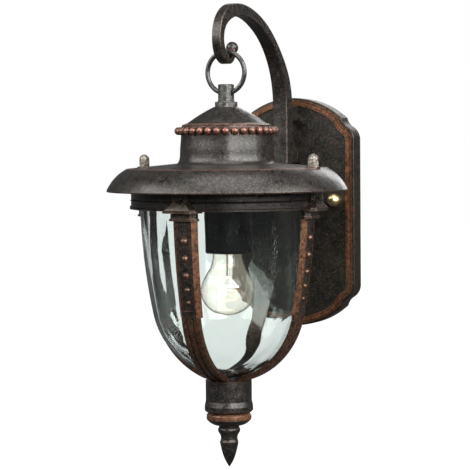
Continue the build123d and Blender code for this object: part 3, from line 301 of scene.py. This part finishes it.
# ------------------------------------------------------- heat shield
# A spun disc of plain aluminium above the glass keeps the bulb's heat off the
# wiring and throws its light down.
shield_metal, tree, shader = start_material("shield_aluminium")
place = add(tree, "TexCoord").outputs["Object"]
film = spread(tree, grain(tree, place, 70, 4), 0.4, 0.7)
tree.links.new(blend_colour(tree, film, (0.66, 0.66, 0.67), (0.50, 0.50, 0.50)), shader.inputs["Base Color"])
shader.inputs["Metallic"].default_value = 1.0
tree.links.new(spread(tree, film, 0.0, 1.0, 0.32, 0.5), shader.inputs["Roughness"])
spun = add(tree, "Bump", {"Strength": 0.1, "Distance": 0.0001, "Height": grain(tree, place, 1200, 2)})
tree.links.new(spun.outputs["Normal"], shader.inputs["Normal"])
finish_node(shield_metal, "heat_shield")

# ------------------------------------------------------- lampholder
# A moulded black thermoset holder in two halves, with a glazed ceramic core
# and a nickel-plated screw shell for the bulb.
holder_black, tree, shader = start_material("holder_black")
place = add(tree, "TexCoord").outputs["Object"]
marks = spread(tree, grain(tree, place, 160, 5), 0.45, 0.7)
tree.links.new(blend_colour(tree, marks, (0.006, 0.006, 0.007), (0.014, 0.013, 0.012)), shader.inputs["Base Color"])
shader.inputs["Specular IOR Level"].default_value = 0.35
tree.links.new(spread(tree, marks, 0.0, 1.0, 0.20, 0.34), shader.inputs["Roughness"])
skin = add(tree, "Bump", {"Strength": 0.1, "Distance": 0.0002, "Height": grain(tree, place, 700, 3)})
tree.links.new(skin.outputs["Normal"], shader.inputs["Normal"])
finish_node(holder_black, "holder_cap", "holder_skirt")

ceramic_white, tree, shader = start_material("ceramic_white")
place = add(tree, "TexCoord").outputs["Object"]
glaze = spread(tree, grain(tree, place, 200, 3), 0.45, 0.7)
tree.links.new(blend_colour(tree, glaze, (0.82, 0.81, 0.77), (0.74, 0.72, 0.66)), shader.inputs["Base Color"])
shader.inputs["Roughness"].default_value = 0.18
waves = add(tree, "Bump", {"Strength": 0.1, "Distance": 0.0003, "Height": grain(tree, place, 150, 2)})
tree.links.new(waves.outputs["Normal"], shader.inputs["Normal"])
finish_node(ceramic_white, "holder_core")

finish_node(plated_steel("nickel", (0.68, 0.65, 0.58), 0.16), "screw_shell", "bulb_cap")
finish_node(plated_steel("solder", (0.52, 0.52, 0.52), 0.34), "bulb_contact")

# ------------------------------------------------------- bulb
# A clear blown bulb, lit: thin glass round a glass stem and a glowing coil.


def clear_glass(name, tone, ior, rough):
    """Clear glass; returns the material with its tree, shader and place."""
    material, tree, shader = start_material(name)
    shader.inputs["Base Color"].default_value = (*tone, 1.0)
    shader.inputs["Transmission Weight"].default_value = 1.0
    shader.inputs["Roughness"].default_value = rough
    shader.inputs["IOR"].default_value = ior
    shader.inputs["Specular IOR Level"].default_value = 0.10
    return material, tree, shader, add(tree, "TexCoord").outputs["Object"]


bulb_clear, tree, shader, place = clear_glass("bulb_clear", (0.99, 0.98, 0.95), 1.35, 0.03)
blown = add(tree, "Bump", {"Strength": 0.08, "Distance": 0.0005, "Height": grain(tree, place, 90, 2)})
tree.links.new(blown.outputs["Normal"], shader.inputs["Normal"])
shader.inputs["Emission Color"].default_value = (1.0, 0.90, 0.72, 1.0)
shader.inputs["Emission Strength"].default_value = 0.04
finish_node(bulb_clear, "bulb_glass", "bulb_stem")

glow, tree, shader = start_material("tungsten")
place = add(tree, "TexCoord").outputs["Object"]
shader.inputs["Base Color"].default_value = (0.9, 0.6, 0.3, 1.0)
heat = spread(tree, grain(tree, place, 900, 2), 0.3, 0.7, 14.0, 30.0)
shader.inputs["Emission Color"].default_value = (1.0, 0.72, 0.38, 1.0)
tree.links.new(heat, shader.inputs["Emission Strength"])
finish_node(glow, "filament")

# ------------------------------------------------------- cage
# The cage ring, four cast straps with capitals, the bottom cup and its cap
# are screwed together round the glass, and rubbed to copper on every edge.
brim_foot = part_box("roof_shell")[0][2]
boss_drops = (0.0386, 0.0527, 0.0667, 0.0786, 0.0891)
boss_radii = (0.0032, 0.0029, 0.0026, 0.0023, 0.0019)
panel_foot = brim_foot - 0.1015
panel_top = brim_foot - 0.0225


def strap_faces(side):
    """Rubbed places on a strap that faces along X or Y: the panel's slopes, the bosses and the reeds."""
    across = "Y" if side == "X" else "X"
    centre = lantern_y if side == "X" else 0.0

    def rubbed(tree, place):
        parts = add(tree, "SeparateXYZ", {0: place})
        facing = add(tree, "SeparateXYZ", {0: add(tree, "TexCoord").outputs["Normal"]})
        lean = add(tree, "Math", {0: facing.outputs[across]}, operation="ABSOLUTE").outputs[0]
        sloping = band(tree, lean, 0.50, 0.88, 0.10)
        slopes = times(tree, sloping, band(tree, parts.outputs["Z"], panel_foot, panel_top, 0.0006))
        reeds = times(tree, spread(tree, parts.outputs["Z"], panel_foot, panel_foot - 0.001), 0.38)
        marks = larger(tree, slopes, reeds)
        offset = add(tree, "Math", {0: parts.outputs[across], 1: centre}, operation="SUBTRACT").outputs[0]
        spot = add(tree, "CombineXYZ", {"X": offset, "Z": parts.outputs["Z"]}).outputs[0]
        for drop, radius in zip(boss_drops, boss_radii):
            boss = (0.0, 0.0, brim_foot - drop)
            away = add(tree, "VectorMath", {0: spot, 1: boss}, operation="DISTANCE").outputs["Value"]
            marks = larger(tree, marks, times(tree, spread(tree, away, radius, radius * 0.6), 0.30))
        return marks
    return rubbed


strap_light = (0.056, 0.043, 0.034)
strap_copper = (0.29, 0.125, 0.060)
for side, names in (("Y", ("strap_front", "strap_back")), ("X", ("strap_left", "strap_right"))):
    strap_bronze = aged_bronze("strap_bronze_" + side.lower(), night_brown, strap_light, strap_copper,
                               edge=0.0008, rough=(0.22, 0.40), rubbed=strap_faces(side))
    finish_node(strap_bronze, *names)

cup_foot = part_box("bottom_cup")[0][2]


def cup_ring(tree, place):
    """The copper ring round the top of the cup's cap."""
    return band(tree, add(tree, "SeparateXYZ", {0: place}).outputs["Z"], cup_foot - 0.0056, cup_foot - 0.0002, 0.0003)


# The cage ring's bronze and copper are darker than the roof's. This is painted shade that stands in for the brim's
# shadow over the ring.
shaded_ring_dark = (0.0075, 0.0065, 0.0060)
shaded_ring_light = (0.022, 0.019, 0.017)
shaded_ring_copper = (0.22, 0.11, 0.070)
cap_copper = (0.30, 0.135, 0.068)
finish_node(aged_bronze("cage_ring_shaded_bronze", shaded_ring_dark, shaded_ring_light, shaded_ring_copper, wear=0.7), "cage_ring")
finish_node(aged_bronze("foot_bronze", night_brown, walnut, old_penny, edge=0.0009), "bottom_cup", "finial")
finish_node(aged_bronze("cup_bronze", night_brown, walnut, cap_copper, rubbed=cup_ring), "cup_cap")

# ------------------------------------------------------- glass bell
# One blown bell of clear hammered glass, pressed in a dimpled mould: the
# dimples are drawn out downwards and bend what is seen through it.
shade_glass, tree, shader, place = clear_glass("shade_glass", (0.90, 0.95, 0.93), 1.46, 0.02)
glass_middle = (0.0, lantern_y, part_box("glass_shade")[0][2] * 0.5)
from_middle = add(tree, "VectorMath", {0: place, 1: glass_middle}, operation="SUBTRACT").outputs["Vector"]
surface = add(tree, "TexCoord").outputs["Normal"]
facing = add(tree, "VectorMath", {0: from_middle, 1: surface}, operation="DOT_PRODUCT").outputs["Value"]
outside = spread(tree, facing, -0.001, 0.001)
drawn = add(tree, "Mapping", {"Vector": place, "Scale": (1.0, 1.0, 0.40)}).outputs["Vector"]
swell = add(tree, "Bump", {"Strength": outside, "Distance": 0.0075, "Height": grain(tree, drawn, 30, 1, 0.4)})
cells = add(tree, "TexVoronoi", {"Vector": drawn, "Scale": 36.0, "Smoothness": 0.7}, feature="SMOOTH_F1")
ripple = add(tree, "Bump", {"Strength": times(tree, outside, 0.55), "Distance": 0.0030,
                            "Height": cells.outputs["Distance"], "Normal": swell.outputs["Normal"]})
tree.links.new(ripple.outputs["Normal"], shader.inputs["Normal"])
finish_node(shade_glass, "glass_shade")

# ------------------------------------------------------- studio
# A pale floor well below the lantern, a white room that the metal sees as
# dim, and soft lamps to the left and right, in front, above and behind.
bm = bmesh.new()
bmesh.ops.create_grid(bm, x_segments=2, y_segments=2, size=20.0)
bmesh.ops.translate(bm, verts=bm.verts, vec=(0.0, 0.0, -1.1))
floor_mesh = bpy.data.meshes.new("floor")
bm.to_mesh(floor_mesh)
bm.free()
floor = bpy.data.objects.new("floor", floor_mesh)
bpy.context.collection.objects.link(floor)
floor_paint, tree, shader = start_material("floor_paint")
place = add(tree, "TexCoord").outputs["Object"]
paint = blend_colour(tree, grain(tree, place, 3, 3), (0.93, 0.93, 0.93), (0.90, 0.90, 0.90))
tree.links.new(paint, shader.inputs["Base Color"])
shader.inputs["Roughness"].default_value = 0.8
shader.inputs["Emission Color"].default_value = (1.0, 1.0, 1.0, 1.0)
shader.inputs["Emission Strength"].default_value = 1.0
floor_mesh.materials.append(floor_paint)
floor.visible_diffuse = False
floor.visible_glossy = False
floor.visible_transmission = False

world = bpy.data.worlds.new("room")
bpy.context.scene.world = world
world.use_nodes = True
tree = world.node_tree
background = tree.nodes["Background"]
path = add(tree, "LightPath")
seen = larger(tree, path.outputs["Is Camera Ray"], path.outputs["Is Transmission Ray"])
depths = {0: path.outputs["Diffuse Depth"], 1: path.outputs["Glossy Depth"]}
bounces = add(tree, "Math", depths, operation="ADD").outputs[0]
straight = add(tree, "Math", {0: bounces, 1: 0.5}, operation="LESS_THAN").outputs[0]
room_dim, room_bright = 0.10, 1.0
strength = spread(tree, times(tree, seen, straight), 0.0, 1.0, room_dim, room_bright)
tree.links.new(strength, background.inputs["Strength"])
background.inputs["Color"].default_value = (1.0, 1.0, 1.0, 1.0)

lantern_middle = Vector((0.0, -0.1445, -0.02))


def soft_lamp(name, azimuth, elevation, distance, width, height, power, colour=(1.0, 1.0, 1.0)):
    """Rectangular soft lamp that faces the lantern."""
    lamp = bpy.data.lights.new(name, "AREA")
    lamp.shape = "RECTANGLE"
    lamp.size, lamp.size_y, lamp.energy, lamp.color = width, height, power, colour
    holder = bpy.data.objects.new(name, lamp)
    bpy.context.collection.objects.link(holder)
    a, e = radians(azimuth), radians(elevation)
    back = Vector((sin(a) * cos(e), -cos(a) * cos(e), sin(e)))
    holder.location = lantern_middle + back * distance
    holder.rotation_mode = "QUATERNION"
    holder.rotation_quaternion = (-back).to_track_quat("-Z", "Y")


soft_lamp("left_lamp", -38, 30, 1.6, 2.0, 1.1, 30)
soft_lamp("right_lamp", 76, 26, 1.6, 2.0, 1.1, 48)
soft_lamp("front_lamp", 40, 20, 1.7, 0.40, 0.9, 13)
soft_lamp("top_lamp", 30, 74, 1.5, 1.2, 1.2, 14)
soft_lamp("back_lamp", 190, 20, 1.8, 1.0, 1.0, 8)

# ------------------------------------------------------- camera
# A long lens, a little above the lantern's middle and to its right, rolled by
# half a degree.
azimuth, elevation, roll = radians(27.08), radians(3.15), radians(-0.5)
right = Vector((cos(azimuth), sin(azimuth), 0.0))
back = Vector((sin(azimuth) * cos(elevation), -cos(azimuth) * cos(elevation), sin(elevation)))
up = Vector((-sin(azimuth) * sin(elevation), cos(azimuth) * sin(elevation), cos(elevation)))
lens = bpy.data.cameras.new("camera")
lens.lens, lens.sensor_width = 140.27, 36.0
lens.clip_start, lens.clip_end = 0.1, 50.0
camera = bpy.data.objects.new("camera", lens)
bpy.context.collection.objects.link(camera)
turn = Matrix((right, up, back)).transposed().to_4x4()
turn = turn @ Matrix.Rotation(roll, 4, "Z")
aim = Vector((0.0, -0.1445, 0.0893))
aside, below, distance = 0.00643, 0.11453, 1.5416
stand = aim + right * aside - up * below + back * distance
camera.matrix_world = Matrix.Translation(stand) @ turn
bpy.context.scene.camera = camera
bpy.context.scene.view_settings.view_transform = "Standard"
